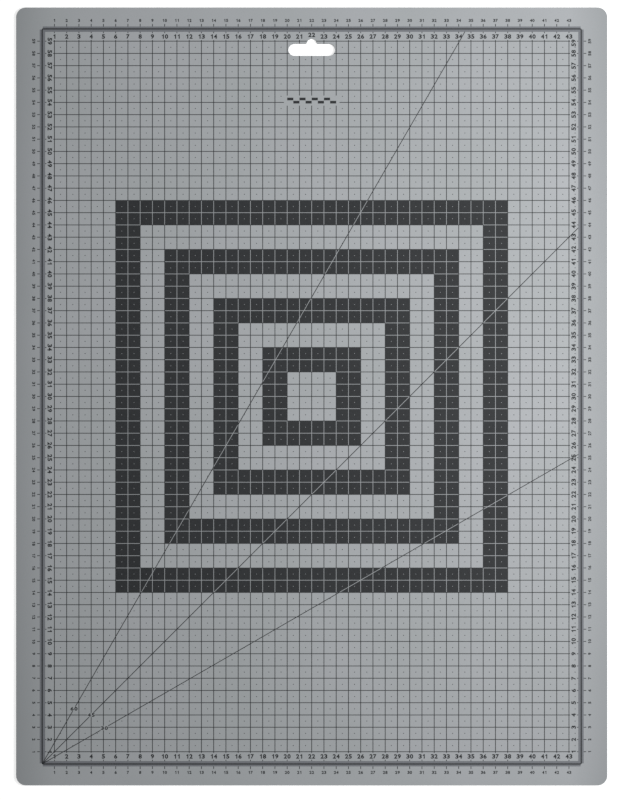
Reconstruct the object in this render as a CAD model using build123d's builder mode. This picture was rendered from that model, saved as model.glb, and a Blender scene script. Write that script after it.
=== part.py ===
from build123d import *
import math
import os

# A self-healing cutting mat: a laminate of five soft PVC plies with rounded corners and a
# hanging slot, and a printed cutting grid with rulers, angle lines and square rings on top.
# Millimetres.  X runs across the mat, Y along it towards the hanging slot, Z up.
# The origin is the centre of the underside.

# ---------------------------------------------------------------- driving dimensions
# Laminate
mat_width = 482.6
mat_length = 635.0
corner_radius = 8.0
healing_ply = 0.6  # soft outer sheet, the same above and below
backing_ply = 0.5  # carries each outer sheet
core_ply = 0.8  # stiff sheet in the middle
edge_break = 0.25  # chamfer on the outer edge of both faces

# Hanging slot, with a half-round notch for a nail in its upper side
slot_width = 38.0
slot_height = 10.0
notch_radius = 4.1
notch_blend = 1.2
notch_from_frame = 7.9  # from the printed frame's centre line to the top of the notch

# Printed field
pitch = 10.0  # one grid square
least_margin = 17.0  # plain mat kept free all round the field
line_width = 0.6
open_line_width = 0.4  # a line left open through the ink of a ring
line_overrun = 1.0  # grid lines run this far past the outermost crossing line
ink_film = 0.02  # thickness of one printed pass

# Frame printed round the field
frame_line_width = 1.0
inner_band_width = 1.9
outer_band_width = 1.5
frame_corner_radius = 1.5

# Rulers on both sides of the frame
inner_tick = 1.1
outer_tick = 2.1
inner_digit_height = 3.7
outer_digit_height = 2.5
inner_numeral_offset = 6.2  # from the frame's centre line to the numerals' centre line
outer_numeral_offset = 6.9
digit_advance = 0.8  # from one digit to the next, over the digit height
digit_breadth = 0.72  # width of one digit, over the digit height
notch_clearance = 1.2  # a numeral above the notch is raised until it clears it by this much
corner_clearance = 0.6  # kept between the last numerals of the top row and the right column

# Square rings round the middle of the field, counted in grid squares
ring_hole = 2  # half width of the open middle
ring_band = 2  # width of a ring, and of the gap to the next
ring_count = 4

# Angle lines from the lower left corner of the field
angles = (30, 45, 60)
label_distances = (58.6, 56.6, 52.0)  # from the corner of the field to each label
label_width = 5.8
label_height = 3.0
label_clearance = 0.3

# Check bar below the slot: two rows of filled and open blocks in turn
bar_blocks = 8
bar_block_width = 5.0
bar_row_height = 2.2
bar_row_gap = 0.4
bar_from_slot = 41.5  # from the slot's centre line to the bar's centre line
bar_end_clearance = 2.7
bar_side_clearance = 1.7

# ---------------------------------------------------------------- worked-out values
columns = math.floor((mat_width - 2 * least_margin) / pitch)
rows = math.floor((mat_length - 2 * least_margin) / pitch)
field_width = columns * pitch
field_length = rows * pitch
field_left = -field_width / 2
field_bottom = -field_length / 2

notch_top = field_length / 2 - notch_from_frame
slot_y = notch_top - notch_radius - slot_height / 2
bar_y = slot_y - bar_from_slot
bar_row_offset = (bar_row_height + bar_row_gap) / 2
frame_inside = frame_line_width / 2 + inner_band_width
frame_outside = frame_line_width / 2 + outer_band_width

bottom_sheet_base = 0.0
lower_backing_base = bottom_sheet_base + healing_ply
core_base = lower_backing_base + backing_ply
upper_backing_base = core_base + core_ply
top_sheet_base = upper_backing_base + backing_ply
print_base = top_sheet_base + healing_ply
second_pass = print_base + ink_film
third_pass = second_pass + ink_film

ring_x = field_left + columns // 2 * pitch
ring_y = field_bottom + rows // 2 * pitch
rings = []
for number in range(ring_count):
    ring_inside = (ring_hole + number * 2 * ring_band) * pitch
    rings.append((ring_inside, ring_inside + ring_band * pitch))

angle_labels = []
for angle, distance in zip(angles, label_distances):
    label_x = field_left + distance * math.cos(math.radians(angle))
    label_y = field_bottom + distance * math.sin(math.radians(angle))
    angle_labels.append((label_x, label_y))

# Rectangles that the grid lines leave free: x, y, half width, half height
bar_half_width = bar_blocks * bar_block_width / 2 + bar_end_clearance
bar_half_height = bar_row_offset + bar_row_height / 2 + bar_side_clearance
kept_clear = [(0, bar_y, bar_half_width, bar_half_height)]
for label_x, label_y in angle_labels:
    half_width = label_width / 2 + label_clearance
    half_height = label_height / 2 + label_clearance
    kept_clear.append((label_x, label_y, half_width, half_height))

os.makedirs("parts", exist_ok=True)


def save(piece, name):
    """Label a finished piece and write its own STEP file."""
    piece.part.label = name
    export_step(piece.part, f"parts/{name}.step")


# ---------------------------------------------------------------- laminate
with BuildSketch() as slot_opening:
    with Locations((0, slot_y)):
        SlotOverall(slot_width, slot_height)
    with Locations((0, slot_y + slot_height / 2)):
        Circle(notch_radius)
    mouth_reach = notch_radius + notch_blend
    notch_mouth = slot_opening.vertices().filter_by_position(Axis.Y, slot_y, mat_length)
    notch_mouth = notch_mouth.filter_by_position(Axis.X, -mouth_reach, mouth_reach)
    fillet(notch_mouth, notch_blend)


def ply(name, base, thickness, broken_side=None):
    """One sheet of the laminate; broken_side is the face whose outer edge is chamfered."""
    with BuildPart() as sheet:
        with BuildSketch(Plane.XY.offset(base)):
            RectangleRounded(mat_width, mat_length, corner_radius)
            add(slot_opening.sketch, mode=Mode.SUBTRACT)
        extrude(amount=thickness)
        if broken_side:
            face = sheet.faces().sort_by(Axis.Z)[-1 if broken_side == "top" else 0]
            chamfer(face.outer_wire().edges(), edge_break)
    save(sheet, name)


ply("bottom_healing_sheet", bottom_sheet_base, healing_ply, "bottom")
ply("lower_backing_ply", lower_backing_base, backing_ply)
ply("rigid_core_sheet", core_base, core_ply)
ply("upper_backing_ply", upper_backing_base, backing_ply)
ply("top_healing_sheet", top_sheet_base, healing_ply, "top")


# ---------------------------------------------------------------- printing helpers
def print_rectangles(name, base, rectangles):
    """Ink rectangles (x, y, width, height), drawn size by size, less the hanging slot."""
    places = {}
    for x, y, width, height in rectangles:
        places.setdefault((round(width, 4), round(height, 4)), []).append((x, y))
    with BuildPart() as ink:
        with BuildSketch(Plane.XY.offset(base)):
            for (width, height), centres in places.items():
                with Locations(*centres):
                    Rectangle(width, height)
            add(slot_opening.sketch, mode=Mode.SUBTRACT)
        extrude(amount=ink_film)
    save(ink, name)


def open_runs(start, stop, gaps):
    """The stretches of start..stop that no gap covers."""
    runs = []
    here = start
    for gap_start, gap_stop in sorted(gaps):
        if gap_start > here and here < stop:
            runs.append((here, min(gap_start, stop)))
        here = max(here, gap_stop)
    if here < stop:
        runs.append((here, stop))
    return runs


def ring_gaps(distance, centre):
    """Where a grid line at this distance from the rings' centre runs through ring ink."""
    gaps = []
    for inside, outside in rings:
        if distance < inside + line_width:
            gaps.append((centre - outside, centre - inside))
            gaps.append((centre + inside, centre + outside))
        elif distance < outside - line_width:
            gaps.append((centre - outside, centre + outside))
    return gaps


# ---------------------------------------------------------------- grid
vertical_lines = []
for column in range(1, columns):
    x = field_left + column * pitch
    gaps = ring_gaps(abs(x - ring_x), ring_y)
    for clear_x, clear_y, half_width, half_height in kept_clear:
        if abs(x - clear_x) < half_width:
            gaps.append((clear_y - half_height, clear_y + half_height))
    first = field_bottom + pitch - line_overrun
    last = field_bottom + field_length - pitch + line_overrun
    for low, high in open_runs(first, last, gaps):
        vertical_lines.append((x, (low + high) / 2, line_width, high - low))
print_rectangles("vertical_grid_lines", second_pass, vertical_lines)

horizontal_lines = []
for row in range(1, rows):
    y = field_bottom + row * pitch
    gaps = ring_gaps(abs(y - ring_y), ring_x)
    for clear_x, clear_y, half_width, half_height in kept_clear:
        if abs(y - clear_y) < half_height:
            gaps.append((clear_x - half_width, clear_x + half_width))
    first = field_left + pitch - line_overrun
    last = field_left + field_width - pitch + line_overrun
    for low, high in open_runs(first, last, gaps):
        horizontal_lines.append(((low + high) / 2, y, high - low, line_width))
print_rectangles("horizontal_grid_lines", print_base, horizontal_lines)


# ---------------------------------------------------------------- square rings
def stretch_inside(angle, left, right, bottom, top):
    """Distances from the field's corner at which an angle line enters and leaves a rectangle."""
    across = math.cos(math.radians(angle))
    along = math.sin(math.radians(angle))
    enters = max((left - field_left) / across, (bottom - field_bottom) / along)
    leaves = min((right - field_left) / across, (top - field_bottom) / along)
    return enters, leaves


def angle_run(angle, low, high, width, mode=Mode.ADD):
    """A straight stretch of an angle line, between two distances from the field's corner."""
    middle = (low + high) / 2
    x = field_left + middle * math.cos(math.radians(angle))
    y = field_bottom + middle * math.sin(math.radians(angle))
    with Locations((x, y)):
        Rectangle(high - low, width, rotation=angle, mode=mode)


def field_stretch(angle):
    """The stretch of an angle line from the frame's corner to the frame's far inner edge."""
    left = field_left + frame_line_width / 2
    bottom = field_bottom + frame_line_width / 2
    return stretch_inside(angle, left, -field_left - frame_inside, bottom, -field_bottom - frame_inside)


for number, (inside, outside) in enumerate(rings, start=1):
    cells = []
    steps = round(outside / pitch)
    for column in range(-steps, steps):
        for row in range(-steps, steps):
            x = (column + 0.5) * pitch
            y = (row + 0.5) * pitch
            if max(abs(x), abs(y)) > inside:
                cells.append((ring_x + x, ring_y + y))
    with BuildPart() as ring:
        with BuildSketch(Plane.XY.offset(print_base)):
            with Locations(*cells):
                Rectangle(pitch - open_line_width, pitch - open_line_width)
            with Locations((ring_x, ring_y)):
                Rectangle(2 * outside - line_width, 2 * outside - line_width, mode=Mode.INTERSECT)
                Rectangle(2 * inside + line_width, 2 * inside + line_width, mode=Mode.SUBTRACT)
            for angle in angles:
                angle_run(angle, *field_stretch(angle), open_line_width, mode=Mode.SUBTRACT)
        extrude(amount=ink_film)
    save(ring, f"square_ring_{number}")

# ---------------------------------------------------------------- angle lines and their labels
for angle, (label_x, label_y) in zip(angles, angle_labels):
    gaps = []
    for inside, outside in rings:
        outer = stretch_inside(angle, ring_x - outside, ring_x + outside, ring_y - outside, ring_y + outside)
        inner = stretch_inside(angle, ring_x - inside, ring_x + inside, ring_y - inside, ring_y + inside)
        if inner[0] < inner[1]:
            gaps.append((outer[0], inner[0]))
            gaps.append((inner[1], outer[1]))
        elif outer[0] < outer[1]:
            gaps.append(outer)
    half_width = label_width / 2 + label_clearance
    half_height = label_height / 2 + label_clearance
    label_box = (label_x - half_width, label_x + half_width, label_y - half_height, label_y + half_height)
    gaps.append(stretch_inside(angle, *label_box))
    with BuildPart() as angle_line:
        with BuildSketch(Plane.XY.offset(third_pass)):
            for low, high in open_runs(*field_stretch(angle), gaps):
                angle_run(angle, low, high, line_width)
            for drawn in angles[: angles.index(angle)]:
                angle_run(drawn, *field_stretch(drawn), line_width, mode=Mode.SUBTRACT)
        extrude(amount=ink_film)
    save(angle_line, f"angle_line_{angle}")

label_patches = [(x, y, label_width, label_height) for x, y in angle_labels]
print_rectangles("angle_labels", print_base, label_patches)

# ---------------------------------------------------------------- printed frame
with BuildPart() as frame_line:
    with BuildSketch(Plane.XY.offset(print_base)):
        RectangleRounded(field_width + frame_line_width, field_length + frame_line_width, frame_corner_radius)
        Rectangle(field_width - frame_line_width, field_length - frame_line_width, mode=Mode.SUBTRACT)
    extrude(amount=ink_film)
save(frame_line, "frame_line")

with BuildPart() as inner_band:
    with BuildSketch(Plane.XY.offset(print_base)):
        Rectangle(field_width - frame_line_width, field_length - frame_line_width)
        Rectangle(field_width - 2 * frame_inside, field_length - 2 * frame_inside, mode=Mode.SUBTRACT)
    extrude(amount=ink_film)
save(inner_band, "frame_inner_band")

band_offset = (frame_line_width + outer_band_width) / 2
outer_bands = []
for side in (-1, 1):
    band_y = side * (field_length / 2 + band_offset)
    band_x = side * (field_width / 2 + band_offset)
    outer_bands.append((0, band_y, field_width - frame_line_width, outer_band_width))
    outer_bands.append((band_x, 0, outer_band_width, field_length - frame_line_width))
print_rectangles("frame_outer_bands", print_base, outer_bands)


# ---------------------------------------------------------------- rulers
def over_notch(x, side, distance):
    """Whether a mark on the inner ruler lies above the notch, where the numeral takes all the room."""
    return side == 1 and distance < 0 and abs(x) < pitch / 2


def tick_marks(distance, length):
    """Tick marks at the grid lines on all four sides; distance is from the frame to their middle."""
    ticks = []
    for side in (-1, 1):
        for column in range(1, columns):
            tick_x = field_left + column * pitch
            if not over_notch(tick_x, side, distance):
                ticks.append((tick_x, side * (field_length / 2 + distance), line_width, length))
        for row in range(1, rows):
            tick_x = side * (field_width / 2 + distance)
            ticks.append((tick_x, field_bottom + row * pitch, length, line_width))
    return ticks


print_rectangles("inner_tick_marks", print_base, tick_marks(-frame_inside - inner_tick / 2, inner_tick))
print_rectangles("outer_tick_marks", print_base, tick_marks(frame_outside + outer_tick / 2, outer_tick))


def numeral_width(number, digit_height):
    """Width of a printed number, from the first digit's left edge to the last digit's right."""
    return ((len(str(number)) - 1) * digit_advance + digit_breadth) * digit_height


def ruler_numerals(name, distance, digit_height):
    """One ink patch for each number on a ruler, with each side of the mat as its own piece."""
    for side, side_name in ((1, "top"), (-1, "bottom")):
        patches = []
        for number in range(1, columns):
            x = field_left + number * pitch
            y = side * (field_length / 2 + distance)
            if over_notch(x, side, distance):
                y = max(y, notch_top + notch_clearance + digit_height / 2)
            patches.append((x, y, numeral_width(number, digit_height), digit_height))
        print_rectangles(f"{side_name}_{name}", print_base, patches)
    for side, side_name in ((-1, "left"), (1, "right")):
        patches = []
        for number in range(1, rows):
            x = side * (field_width / 2 + distance)
            y = field_bottom + number * pitch
            if side == 1 and distance < 0:
                below_top_row = field_length / 2 + distance - digit_height / 2 - corner_clearance
                y = min(y, below_top_row - numeral_width(number, digit_height) / 2)
            patches.append((x, y, digit_height, numeral_width(number, digit_height)))
        print_rectangles(f"{side_name}_{name}", print_base, patches)


ruler_numerals("inner_numerals", -inner_numeral_offset, inner_digit_height)
ruler_numerals("outer_numerals", outer_numeral_offset, outer_digit_height)

# ---------------------------------------------------------------- check bar
bar_patches = []
for block in range(bar_blocks):
    x = (block + 0.5 - bar_blocks / 2) * bar_block_width
    y = bar_y + bar_row_offset * (1 if block % 2 == 0 else -1)
    bar_patches.append((x, y, bar_block_width, bar_row_height))
print_rectangles("check_bar", print_base, bar_patches)
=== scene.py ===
import math

import bpy
import numpy as np
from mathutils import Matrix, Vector
from mathutils.geometry import tessellate_polygon


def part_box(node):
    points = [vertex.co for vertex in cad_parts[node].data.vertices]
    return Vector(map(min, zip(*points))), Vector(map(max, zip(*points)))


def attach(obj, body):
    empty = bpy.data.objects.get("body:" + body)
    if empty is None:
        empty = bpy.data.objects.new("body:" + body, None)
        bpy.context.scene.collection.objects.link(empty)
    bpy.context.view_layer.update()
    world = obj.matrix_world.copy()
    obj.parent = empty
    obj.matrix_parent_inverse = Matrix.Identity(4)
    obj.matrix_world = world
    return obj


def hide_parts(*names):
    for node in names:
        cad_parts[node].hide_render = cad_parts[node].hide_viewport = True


# The looks of a self-healing cutting mat: five laminated PVC plies, and a screen-printed
# grid, frame, rulers, square rings and angle lines on the upper face.  Metres.

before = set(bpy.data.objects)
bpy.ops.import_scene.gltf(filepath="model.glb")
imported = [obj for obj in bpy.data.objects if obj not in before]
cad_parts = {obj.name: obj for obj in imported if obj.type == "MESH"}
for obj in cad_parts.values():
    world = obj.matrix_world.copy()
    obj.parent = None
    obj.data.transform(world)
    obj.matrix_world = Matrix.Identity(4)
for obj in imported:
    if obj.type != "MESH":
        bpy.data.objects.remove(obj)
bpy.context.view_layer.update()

MM = 0.001

# ---------------------------------------------------------------- sizes taken from the frame
sheet_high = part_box("top_healing_sheet")[1]
half_width = sheet_high.x
half_length = sheet_high.y
print_low = sheet_high.z  # the underside of the ink

frame_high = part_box("frame_line")[1]
band_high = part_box("frame_inner_band")[1]
field_half_width = (frame_high.x + band_high.x) / 2
field_half_length = (frame_high.y + band_high.y) / 2

# ---------------------------------------------------------------- sizes of the object
PITCH = 10 * MM
CORNER_RADIUS = 8 * MM
FACE_EDGE_ROUND = 0.25 * MM
SLOT_EDGE_ROUND = 0.12 * MM
PLY_STEP = 0.04 * MM  # the inner plies stand back this far at the cut edge

SLOT_HALF_RUN = 14 * MM  # half of the slot's straight sides
SLOT_RADIUS = 5 * MM
SLOT_FROM_FRAME = 17.0 * MM  # from the frame's centre line to the slot's centre line
NOTCH_RADIUS = 4.1 * MM
NOTCH_BLEND = 1.2 * MM

LINE_WIDTH = 0.6 * MM
OPEN_LINE_WIDTH = 0.4 * MM  # a line left open through the ink of a ring
INK_FILM = 0.02 * MM
DOT_RADIUS = 0.38 * MM
OPEN_DOT_RADIUS = 0.27 * MM  # a dot left open through the ink of a ring
BAR_CLEARANCE = 1.7 * MM
ANGLES = (30, 45, 60)
RING_HALF_SIZES = ((2, 4), (6, 8), (10, 12), (14, 16))  # inside and outside, in grid squares

INNER_DIGIT_HEIGHT = 3.7 * MM
OUTER_DIGIT_HEIGHT = 2.5 * MM
LABEL_DIGIT_HEIGHT = 3.0 * MM
LABEL_HALF_WIDTH = 2.9 * MM
DIGIT_CUT = (0.72, 0.8)  # width of a digit and step to the next, over the digit height
LABEL_CUT = (0.88, 1.05)
DIGIT_BOLDNESS = 0.042
DIGIT_RESOLUTION = 5
# The figure one, in a box one unit wide and one unit tall about the origin
FIGURE_ONE = (
    (-0.02, -0.5),
    (0.3, -0.5),
    (0.3, 0.5),
    (0.06, 0.5),
    (-0.1, 0.36),
    (-0.34, 0.26),
    (-0.34, 0.08),
    (-0.02, 0.18),
)

# ---------------------------------------------------------------- fineness of the meshes
CORNER_STEPS = 20
SLOT_STEPS = 24
BLEND_STEPS = 8
EDGE_STEPS = 6
DOT_SIDES = 10
DECIMALS = 7  # of a metre, to which corners of ink are told apart
LEAST_DOT_MARGIN = 0.05 * MM  # ink kept round an open dot; with less, the dot is left out
LEAST_PIECE_SIDE = 0.1 * MM  # pieces of ink smaller than a square of this side are left out

columns = round(2 * field_half_width / PITCH)
rows = round(2 * field_half_length / PITCH)
field_left = -field_half_width
field_bottom = -field_half_length
slot_y = field_half_length - SLOT_FROM_FRAME


# ---------------------------------------------------------------- node materials
def new_material(name, colour, roughness):
    """A Principled material with object coordinates ready for its patterns."""
    material = bpy.data.materials.new(name)
    material.use_nodes = True
    tree = material.node_tree
    shader = tree.nodes["Principled BSDF"]
    shader.inputs["Base Color"].default_value = (*colour, 1)
    shader.inputs["Roughness"].default_value = roughness
    shader.inputs["Specular IOR Level"].default_value = 0.3
    place = tree.nodes.new("ShaderNodeTexCoord").outputs["Object"]
    return material, tree, shader, place


def stretched(tree, place, scale):
    """Object coordinates scaled along each axis."""
    mapping = tree.nodes.new("ShaderNodeMapping")
    mapping.inputs["Scale"].default_value = scale
    tree.links.new(place, mapping.inputs["Vector"])
    return mapping.outputs["Vector"]


def noise(tree, place, scale, detail=2.0, roughness=0.5):
    """A cloudy pattern about 0.5."""
    node = tree.nodes.new("ShaderNodeTexNoise")
    node.inputs["Scale"].default_value = scale
    node.inputs["Detail"].default_value = detail
    node.inputs["Roughness"].default_value = roughness
    tree.links.new(place, node.inputs["Vector"])
    return node.outputs["Fac"]


def spread(tree, value, low, high, to_low, to_high):
    """Maps low..high of a pattern to to_low..to_high."""
    node = tree.nodes.new("ShaderNodeMapRange")
    for socket, number in (("From Min", low), ("From Max", high), ("To Min", to_low), ("To Max", to_high)):
        node.inputs[socket].default_value = number
    tree.links.new(value, node.inputs["Value"])
    return node.outputs["Result"]


def mixed(tree, factor, first, second):
    """A colour between first and second; either may be a colour or a socket."""
    node = tree.nodes.new("ShaderNodeMix")
    node.data_type = "RGBA"
    tree.links.new(factor, node.inputs["Factor"])
    for socket, colour in ((node.inputs[6], first), (node.inputs[7], second)):
        if isinstance(colour, tuple):
            socket.default_value = (*colour, 1)
        else:
            tree.links.new(colour, socket)
    return node.outputs[2]


def bumped(tree, shader, height, strength, distance):
    """Gives a shader's surface the relief of a pattern."""
    node = tree.nodes.new("ShaderNodeBump")
    node.inputs["Strength"].default_value = strength
    node.inputs["Distance"].default_value = distance
    tree.links.new(height, node.inputs["Height"])
    tree.links.new(node.outputs["Normal"], shader.inputs["Normal"])


def pebbles(tree, place, scale=1500.0):
    """The fine embossed grain that the outer sheets are calendered with."""
    cells = tree.nodes.new("ShaderNodeTexVoronoi")
    cells.inputs["Scale"].default_value = scale
    tree.links.new(place, cells.inputs["Vector"])
    return cells.outputs["Distance"]


def side_margins(tree, place):
    """Painted shade: rises from the printed field's sides to the mat's long edges, where the light falls
    off.
    """
    split = tree.nodes.new("ShaderNodeSeparateXYZ")
    tree.links.new(place, split.inputs["Vector"])
    from_middle = tree.nodes.new("ShaderNodeMath")
    from_middle.operation = "ABSOLUTE"
    tree.links.new(split.outputs["X"], from_middle.inputs[0])
    return spread(tree, from_middle.outputs["Value"], field_half_width - PITCH, half_width, 0, 0.75)


def pvc_material():
    """Grey healing sheet: faint clouding, fine speckle, painted shade towards the long edges, pebbled matt
    face.
    """
    material, tree, shader, place = new_material("grey_pvc", (0.33, 0.345, 0.36), 0.55)
    clouds = spread(tree, noise(tree, place, 9, 3), 0.35, 0.65, 0, 1)
    body = mixed(tree, clouds, (0.325, 0.343, 0.352), (0.345, 0.358, 0.374))
    speckle = spread(tree, noise(tree, place, 1100, 2), 0.6, 0.8, 0, 0.35)
    body = mixed(tree, speckle, body, (0.24, 0.25, 0.262))
    # Painted shade: the sheet darkens towards its long edges, where the light falls off
    body = mixed(tree, side_margins(tree, place), body, (0.245, 0.258, 0.268))
    tree.links.new(body, shader.inputs["Base Color"])
    grain = pebbles(tree, place)
    tree.links.new(spread(tree, grain, 0, 0.6, 0.62, 0.48), shader.inputs["Roughness"])
    bumped(tree, shader, grain, 0.35, 0.06 * MM)
    return material


def ply_material(name, dark, light, roughness):
    """A ply seen only at the cut edge: drag marks of the blade along the edge."""
    material, tree, shader, place = new_material(name, dark, roughness)
    streaks = noise(tree, stretched(tree, place, (60, 60, 9000)), 1.0, 4, 0.6)
    shade = mixed(tree, spread(tree, streaks, 0.3, 0.7, 0, 1), dark, light)
    tree.links.new(shade, shader.inputs["Base Color"])
    bumped(tree, shader, streaks, 0.3, 0.03 * MM)
    return material


def ink_material(name, thin, dense, roughness):
    """Screen-print ink: slightly uneven cover, over the grain of the sheet below."""
    material, tree, shader, place = new_material(name, dense, roughness)
    cover = spread(tree, noise(tree, place, 700, 3, 0.6), 0.3, 0.7, 0, 1)
    patches = spread(tree, noise(tree, place, 25, 2), 0.35, 0.65, 0, 0.4)
    ink = mixed(tree, cover, dense, thin)
    ink = mixed(tree, patches, ink, thin)
    tree.links.new(ink, shader.inputs["Base Color"])
    bumped(tree, shader, pebbles(tree, place), 0.25, 0.05 * MM)
    return material


grey_pvc = pvc_material()
dark_pvc = ply_material("dark_pvc", (0.075, 0.08, 0.085), (0.12, 0.125, 0.13), 0.6)
core_pvc = ply_material("core_pvc", (0.50, 0.51, 0.50), (0.60, 0.61, 0.60), 0.42)
black_ink = ink_material("black_ink", (0.0205, 0.0228, 0.0255), (0.0112, 0.0127, 0.0146), 0.66)
grey_ink = ink_material("grey_ink", (0.163, 0.171, 0.187), (0.140, 0.148, 0.164), 0.65)


# ---------------------------------------------------------------- mesh helpers
def new_piece(name, points, faces, material):
    """A mesh object that rides on the mat and takes its finish from a material slot."""
    mesh = bpy.data.meshes.new(name)
    mesh.from_pydata(points, [], faces)
    mesh.materials.append(material)
    piece = bpy.data.objects.new(name, mesh)
    bpy.context.scene.collection.objects.link(piece)
    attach(piece, "root")
    return piece


def signed_area(loop):
    """Area inside a loop of points, positive when it runs counter-clockwise."""
    total = 0.0
    for (x0, y0), (x1, y1) in zip(loop, loop[1:] + loop[:1]):
        total += x0 * y1 - x1 * y0
    return total / 2


def filled(outline, holes=()):
    """Triangles, counter-clockwise from above, that fill an outline less its holes."""
    loops = [outline, *holes]
    flat = [point for loop in loops for point in loop]
    corners = [[Vector((x, y, 0)) for x, y in loop] for loop in loops]
    triangles = []
    for a, b, c in tessellate_polygon(corners):
        if signed_area([flat[a], flat[b], flat[c]]) < 0:
            b, c = c, b
        triangles.append((a, b, c))
    return flat, triangles


def add_slab(points, faces, outline, holes, low, high):
    """Adds one closed flat slab to a mesh's points and faces."""
    if signed_area(outline) < 0:
        outline = outline[::-1]
    holes = [hole if signed_area(hole) < 0 else hole[::-1] for hole in holes]
    flat, triangles = filled(outline, holes)
    start = len(points)
    count = len(flat)
    points.extend((x, y, low) for x, y in flat)
    points.extend((x, y, high) for x, y in flat)
    for a, b, c in triangles:
        faces.append((start + c, start + b, start + a))
        faces.append((start + count + a, start + count + b, start + count + c))
    first = start
    for loop in (outline, *holes):
        for step in range(len(loop)):
            here = first + step
            ahead = first + (step + 1) % len(loop)
            faces.append((here, ahead, ahead + count, here + count))
        first += len(loop)


def arc(centre_x, centre_y, radius, start, stop, steps):
    """Points along an arc, angles in degrees."""
    points = []
    for step in range(steps + 1):
        turn = math.radians(start + (stop - start) * step / steps)
        points.append((centre_x + radius * math.cos(turn), centre_y + radius * math.sin(turn)))
    return points


def dot_outline(x, y, radius):
    """The outline of a round dot."""
    return arc(x, y, radius, 0, 360 - 360 / DOT_SIDES, DOT_SIDES - 1)


# ---------------------------------------------------------------- laminate
def mat_outline(inset):
    """The mat's outline, taken in by inset."""
    radius = CORNER_RADIUS - inset
    x = half_width - CORNER_RADIUS
    y = half_length - CORNER_RADIUS
    return (
        arc(x, -y, radius, -90, 0, CORNER_STEPS)
        + arc(x, y, radius, 0, 90, CORNER_STEPS)
        + arc(-x, y, radius, 90, 180, CORNER_STEPS)
        + arc(-x, -y, radius, 180, 270, CORNER_STEPS)
    )


def slot_outline(grow):
    """The hanging slot's outline, opened out by grow."""
    side_y = slot_y + SLOT_RADIUS
    reach = NOTCH_RADIUS + NOTCH_BLEND
    blend_x = math.sqrt(reach**2 - NOTCH_BLEND**2)
    lean = math.degrees(math.atan2(NOTCH_BLEND, blend_x))
    blend_y = side_y + NOTCH_BLEND
    blend = NOTCH_BLEND - grow
    return (
        arc(SLOT_HALF_RUN, slot_y, SLOT_RADIUS + grow, -90, 90, SLOT_STEPS)
        + arc(blend_x, blend_y, blend, -90, -180 + lean, BLEND_STEPS)
        + arc(0, side_y, NOTCH_RADIUS + grow, lean, 180 - lean, SLOT_STEPS)[1:-1]
        + arc(-blend_x, blend_y, blend, -lean, -90, BLEND_STEPS)
        + arc(-SLOT_HALF_RUN, slot_y, SLOT_RADIUS + grow, 90, 270, SLOT_STEPS)
    )


def edge_profile(low, high, radius, rounded_side, step_back):
    """How far an edge stands back at each height, from below to above."""
    rounding = []
    for step in range(EDGE_STEPS + 1):
        turn = math.radians(90 * step / EDGE_STEPS)
        rounding.append((radius * (1 - math.cos(turn)), radius * (1 - math.sin(turn))))
    if rounded_side == "top":
        return [(0, low)] + [(inset, high - drop) for inset, drop in rounding]
    if rounded_side == "bottom":
        return [(inset, low + drop) for inset, drop in reversed(rounding)] + [(0, high)]
    return [(step_back, low), (step_back, high)]


def add_wall(points, faces, profile, outline, facing):
    """Adds a wall swept up a profile; returns its lowest and highest loops of points.

    Facing is 1 for a wall that faces out of its outline, -1 for one that faces into it.
    """
    first = len(points)
    for inset, z in profile:
        loop = outline(inset)
        points.extend((x, y, z) for x, y in loop)
    count = len(loop)
    for level in range(len(profile) - 1):
        for step in range(count):
            here = first + level * count + step
            ahead = first + level * count + (step + 1) % count
            quad = (here, ahead, ahead + count, here + count)
            faces.append(quad if facing > 0 else quad[::-1])
    last = first + (len(profile) - 1) * count
    return list(range(first, first + count)), list(range(last, last + count))


def ply(node, material, rounded_side=None):
    """One sheet of the laminate, with smooth corners, a punched slot and softened edges."""
    low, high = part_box(node)
    points = []
    faces = []
    outer = edge_profile(low.z, high.z, FACE_EDGE_ROUND, rounded_side, PLY_STEP)
    inner = edge_profile(low.z, high.z, SLOT_EDGE_ROUND, rounded_side, PLY_STEP)
    outer_low, outer_high = add_wall(points, faces, outer, mat_outline, 1)
    inner_low, inner_high = add_wall(points, faces, inner, slot_outline, -1)
    walls = len(faces)
    for outer_loop, inner_loop, upward in ((outer_high, inner_high, True), (outer_low, inner_low, False)):
        indices = outer_loop + inner_loop
        outline = [points[index][:2] for index in outer_loop]
        hole = [points[index][:2] for index in inner_loop]
        for triangle in filled(outline, [hole])[1]:
            a, b, c = (indices[corner] for corner in triangle)
            faces.append((a, b, c) if upward else (c, b, a))
    piece = new_piece(f"{node}_moulded", points, faces, material)
    smooth = [index < walls for index in range(len(faces))]
    piece.data.polygons.foreach_set("use_smooth", smooth)
    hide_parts(node)


ply("bottom_healing_sheet", grey_pvc, "bottom")
ply("lower_backing_ply", dark_pvc)
ply("rigid_core_sheet", core_pvc)
ply("upper_backing_ply", dark_pvc)
ply("top_healing_sheet", grey_pvc, "top")


# ---------------------------------------------------------------- print kept from the frame
def paint(node, material):
    """Gives a carried-over node its material."""
    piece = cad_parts[node]
    piece.data.materials.clear()
    piece.data.materials.append(material)


for node in ("frame_inner_band", "frame_outer_bands"):
    paint(node, grey_ink)
for node in (
    "frame_line",
    "horizontal_grid_lines",
    "vertical_grid_lines",
    "inner_tick_marks",
    "outer_tick_marks",
    "check_bar",
    *(f"angle_line_{angle}" for angle in ANGLES),
):
    paint(node, black_ink)


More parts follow.
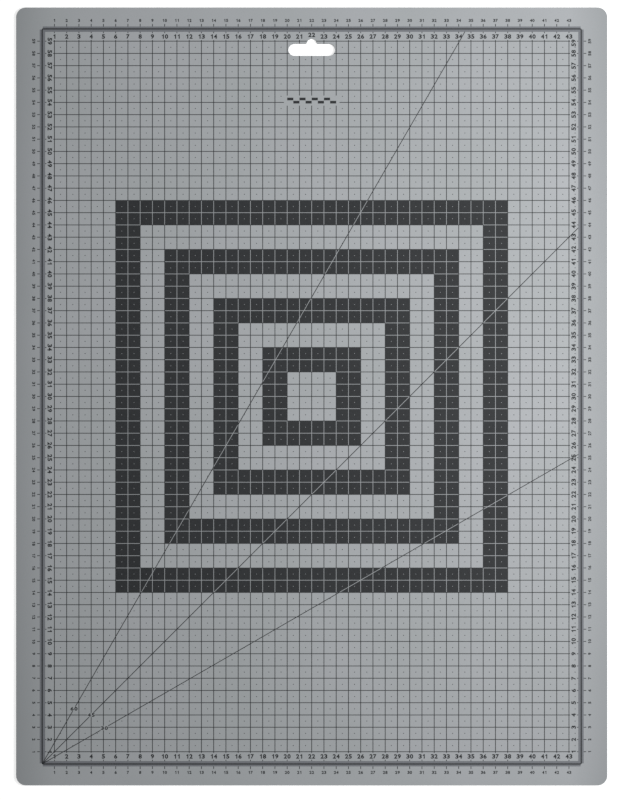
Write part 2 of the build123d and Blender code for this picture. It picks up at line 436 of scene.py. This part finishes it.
# ---------------------------------------------------------------- square rings, with the lines left open
def beside_line(polygon, angle, side):
    """The part of a convex polygon that lies on one side of an angle line."""
    across = math.cos(math.radians(angle))
    along = math.sin(math.radians(angle))

    def distance(point):
        from_line = across * (point[1] - field_bottom) - along * (point[0] - field_left)
        return side * from_line - OPEN_LINE_WIDTH / 2

    kept = []
    for here, ahead in zip(polygon, polygon[1:] + polygon[:1]):
        near, far = distance(here), distance(ahead)
        if near >= 0:
            kept.append(here)
        if near * far < 0:
            share = near / (near - far)
            crossing = tuple(a + (b - a) * share for a, b in zip(here, ahead))
            kept.append(crossing)
    return kept


def clearance(polygon, point):
    """Least distance from a point to the sides of a convex counter-clockwise polygon round it."""
    least = math.inf
    for (x0, y0), (x1, y1) in zip(polygon, polygon[1:] + polygon[:1]):
        length = math.hypot(x1 - x0, y1 - y0)
        if length > 0:
            cross = (x1 - x0) * (point[1] - y0) - (y1 - y0) * (point[0] - x0)
            least = min(least, cross / length)
    return least


def ring_cell(x, y, left, right, bottom, top):
    """The inked pieces of one grid square in a ring, each with its hole for the centre dot."""
    pieces = [[(left, bottom), (right, bottom), (right, top), (left, top)]]
    for angle in ANGLES:
        cut = []
        for piece in pieces:
            cut.extend(beside_line(piece, angle, side) for side in (-1, 1))
        cut = [piece for piece in cut if len(piece) > 2]
        pieces = [piece for piece in cut if abs(signed_area(piece)) > LEAST_PIECE_SIDE**2]
    result = []
    for piece in pieces:
        holes = []
        if clearance(piece, (x, y)) > OPEN_DOT_RADIUS + LEAST_DOT_MARGIN:
            holes.append(dot_outline(x, y, OPEN_DOT_RADIUS))
        result.append((piece, holes))
    return result


def inked(column, row, ring):
    """Whether a grid square, counted from the rings' centre, lies in a ring."""
    inside, outside = ring
    return inside < max(abs(column + 0.5), abs(row + 0.5)) < outside


def half_reach(column, row, ring):
    """How far a square's ink runs towards the neighbouring square at this column and row."""
    line = OPEN_LINE_WIDTH if inked(column, row, ring) else LINE_WIDTH
    return (PITCH - line) / 2


def ring_print(number, ring):
    """Replaces a ring by its inked squares; returns their places in the grid."""
    points = []
    faces = []
    squares = set()
    outside = ring[1]
    for column in range(-outside, outside):
        for row in range(-outside, outside):
            if not inked(column, row, ring):
                continue
            x = ring_x + (column + 0.5) * PITCH
            y = ring_y + (row + 0.5) * PITCH
            left = x - half_reach(column - 1, row, ring)
            right = x + half_reach(column + 1, row, ring)
            bottom = y - half_reach(column, row - 1, ring)
            top = y + half_reach(column, row + 1, ring)
            squares.add((column + columns // 2, row + rows // 2))
            for outline, holes in ring_cell(x, y, left, right, bottom, top):
                add_slab(points, faces, outline, holes, print_low, print_low + INK_FILM)
    piece = new_piece(f"ring_print_{number}", points, faces, black_ink)
    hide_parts(f"square_ring_{number}")
    return squares


ring_x = field_left + columns // 2 * PITCH
ring_y = field_bottom + rows // 2 * PITCH
ring_squares = set()
for number, ring in enumerate(RING_HALF_SIZES, start=1):
    ring_squares |= ring_print(number, ring)


# ---------------------------------------------------------------- centre dots
def patch_centres(node, order):
    """Centres of a node's separate ink patches; order gives each corner's place in the row."""
    patches = {}
    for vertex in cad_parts[node].data.vertices:
        x, y, z = vertex.co
        patches.setdefault(order(x, y), set()).add((round(x, DECIMALS), round(y, DECIMALS)))
    centres = []
    for place in sorted(patches):
        corners = np.array(sorted(patches[place]))
        centres.append(tuple((corners.min(0) + corners.max(0)) / 2))
    return centres


def nearest_angle(x, y):
    """The angle line that a point near the field's corner lies closest to."""
    bearing = math.degrees(math.atan2(y - field_bottom, x - field_left))
    return min(ANGLES, key=lambda angle: abs(angle - bearing))


label_centres = patch_centres("angle_labels", nearest_angle)
kept_clear = []  # x, y, half width and half height of what the dots stay off
bar_low, bar_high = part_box("check_bar")
bar_half = (bar_high - bar_low) / 2
kept_clear.append((0, (bar_low.y + bar_high.y) / 2, bar_half.x + BAR_CLEARANCE, bar_half.y + BAR_CLEARANCE))
slot_reach = SLOT_HALF_RUN + SLOT_RADIUS + DOT_RADIUS
kept_clear.append((0, slot_y, slot_reach, SLOT_RADIUS + DOT_RADIUS))
for x, y in label_centres:
    kept_clear.append((x, y, LABEL_HALF_WIDTH, LABEL_DIGIT_HEIGHT / 2))

points = []
faces = []
for column in range(1, columns):
    for row in range(1, rows - 1):
        if (column, row) in ring_squares:
            continue
        x = field_left + (column + 0.5) * PITCH
        y = field_bottom + (row + 0.5) * PITCH
        blocked = any(abs(x - cx) < hw and abs(y - cy) < hh for cx, cy, hw, hh in kept_clear)
        if not blocked:
            add_slab(points, faces, dot_outline(x, y, DOT_RADIUS), [], print_low, print_low + INK_FILM)
new_piece("centre_dots", points, faces, black_ink)


# ---------------------------------------------------------------- digits
def drawn_one():
    """The figure one: its corners, triangles and rim."""
    count = len(FIGURE_ONE)
    rim = [(step, (step + 1) % count) for step in range(count)]
    return np.array(FIGURE_ONE), filled(list(FIGURE_ONE))[1], rim


def font_digit(digit):
    """A digit of the built-in font, stretched to a unit box: its corners, triangles and rim."""
    curve = bpy.data.curves.new(f"digit_{digit}", "FONT")
    curve.body = digit
    curve.resolution_u = DIGIT_RESOLUTION
    curve.offset = DIGIT_BOLDNESS
    text = bpy.data.objects.new(f"digit_{digit}", curve)
    bpy.context.scene.collection.objects.link(text)
    bpy.context.view_layer.update()
    mesh = bpy.data.meshes.new_from_object(text.evaluated_get(bpy.context.evaluated_depsgraph_get()))
    corners = np.array([vertex.co[:2] for vertex in mesh.vertices])
    triangles = []
    edges = {}
    for polygon in mesh.polygons:
        loop = list(polygon.vertices)
        if signed_area([tuple(corners[index]) for index in loop]) < 0:
            loop.reverse()
        triangles.append(loop)
        edges.update(dict.fromkeys(zip(loop, loop[1:] + loop[:1])))
    rim = [edge for edge in edges if edge[::-1] not in edges]
    low, high = corners.min(0), corners.max(0)
    bpy.data.objects.remove(text)
    bpy.data.curves.remove(curve)
    bpy.data.meshes.remove(mesh)
    return (corners - (low + high) / 2) / (high - low), triangles, rim


shapes = {"1": drawn_one(), **{digit: font_digit(digit) for digit in "023456789"}}


def add_number(points, faces, number, x, y, height, turn, cut):
    """Adds a printed number centred on x, y and turned anticlockwise by turn degrees."""
    text = str(number)
    breadth, advance = cut
    across = math.cos(math.radians(turn))
    along = math.sin(math.radians(turn))
    for place, digit in enumerate(text):
        corners, triangles, rim = shapes[digit]
        shift = (place - (len(text) - 1) / 2) * advance
        start = len(points)
        count = len(corners)
        for z in (print_low, print_low + INK_FILM):
            for u, v in corners:
                u, v = (u * breadth + shift) * height, v * height
                points.append((x + u * across - v * along, y + u * along + v * across, z))
        for loop in triangles:
            faces.append([start + index for index in reversed(loop)])
            faces.append([start + count + index for index in loop])
        for a, b in rim:
            faces.append((start + a, start + b, start + count + b, start + count + a))


def ruler(node, turn, height):
    """Replaces a ruler's ink patches by printed digits, in the same places."""
    low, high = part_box(node)
    if high.y - low.y > high.x - low.x:
        patches = patch_centres(node, lambda x, y: round((y - field_bottom) / PITCH))
    else:
        patches = patch_centres(node, lambda x, y: round((x - field_left) / PITCH))
    points = []
    faces = []
    for number, (x, y) in enumerate(patches, start=1):
        add_number(points, faces, number, x, y, height, turn, DIGIT_CUT)
    piece = new_piece(node.replace("numerals", "digits"), points, faces, black_ink)
    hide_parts(node)


for ring_name, height in (("inner", INNER_DIGIT_HEIGHT), ("outer", OUTER_DIGIT_HEIGHT)):
    for side, turn in (("top", 0), ("bottom", 0), ("left", -90), ("right", 90)):
        ruler(f"{side}_{ring_name}_numerals", turn, height)

points = []
faces = []
for angle, (x, y) in zip(ANGLES, label_centres):
    add_number(points, faces, angle, x, y, LABEL_DIGIT_HEIGHT, 0, LABEL_CUT)
piece = new_piece("angle_label_digits", points, faces, black_ink)
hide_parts("angle_labels")


# ---------------------------------------------------------------- stage, light and camera
FLOOR_HALF = 6.0
FLOOR_DROP = 0.0002
floor_mesh = bpy.data.meshes.new("floor")
floor_corners = []
for x, y in ((-1, -1), (1, -1), (1, 1), (-1, 1)):
    floor_corners.append((x * FLOOR_HALF, y * FLOOR_HALF, -FLOOR_DROP))
floor_mesh.from_pydata(floor_corners, [], [(0, 1, 2, 3)])
floor = bpy.data.objects.new("floor", floor_mesh)
bpy.context.scene.collection.objects.link(floor)
floor_material = bpy.data.materials.new("floor_white")
floor_material.use_nodes = True
floor_shader = floor_material.node_tree.nodes["Principled BSDF"]
floor_shader.inputs["Base Color"].default_value = (0.35, 0.35, 0.35, 1)
floor_shader.inputs["Roughness"].default_value = 0.85
floor_shader.inputs["Emission Color"].default_value = (1, 1, 1, 1)
floor_shader.inputs["Emission Strength"].default_value = 0.8
floor_mesh.materials.append(floor_material)


def softbox(name, place, target, size, power, colour):
    """A round soft light, hidden from the camera."""
    data = bpy.data.lights.new(name, "AREA")
    data.shape = "DISK"
    data.size = size
    data.energy = power
    data.color = colour
    light = bpy.data.objects.new(name, data)
    bpy.context.scene.collection.objects.link(light)
    light.location = place
    aim = Vector(target) - Vector(place)
    light.rotation_euler = aim.to_track_quat("-Z", "Y").to_euler()
    light.visible_camera = False


KEY_PLACE = (0.71, 0.05, 1.155)
KEY_TARGET = (-0.46, 0.47, 0)
KEY_SIZE = 0.5
KEY_POWER = 24.0
KEY_COLOUR = (1.0, 1.003, 1.008)
softbox("key_light", KEY_PLACE, KEY_TARGET, KEY_SIZE, KEY_POWER, KEY_COLOUR)

world = bpy.data.worlds.new("studio")
world.use_nodes = True
world.node_tree.nodes["Background"].inputs["Color"].default_value = (0.96, 1.0, 0.985, 1)
world.node_tree.nodes["Background"].inputs["Strength"].default_value = 0.06
bpy.context.scene.world = world
bpy.context.scene.view_settings.view_transform = "Standard"

VIEW_HEIGHT = 0.653  # of the mat's plane that the picture's longer side takes in
VIEW_X = -0.0018
VIEW_Y = -0.0029
LENS = 100
SENSOR = 36
camera_data = bpy.data.cameras.new("camera")
camera_data.lens = LENS
camera_data.sensor_width = SENSOR
camera = bpy.data.objects.new("camera", camera_data)
bpy.context.scene.collection.objects.link(camera)
camera.location = (VIEW_X, VIEW_Y, print_low + VIEW_HEIGHT * LENS / SENSOR)
bpy.context.scene.camera = camera
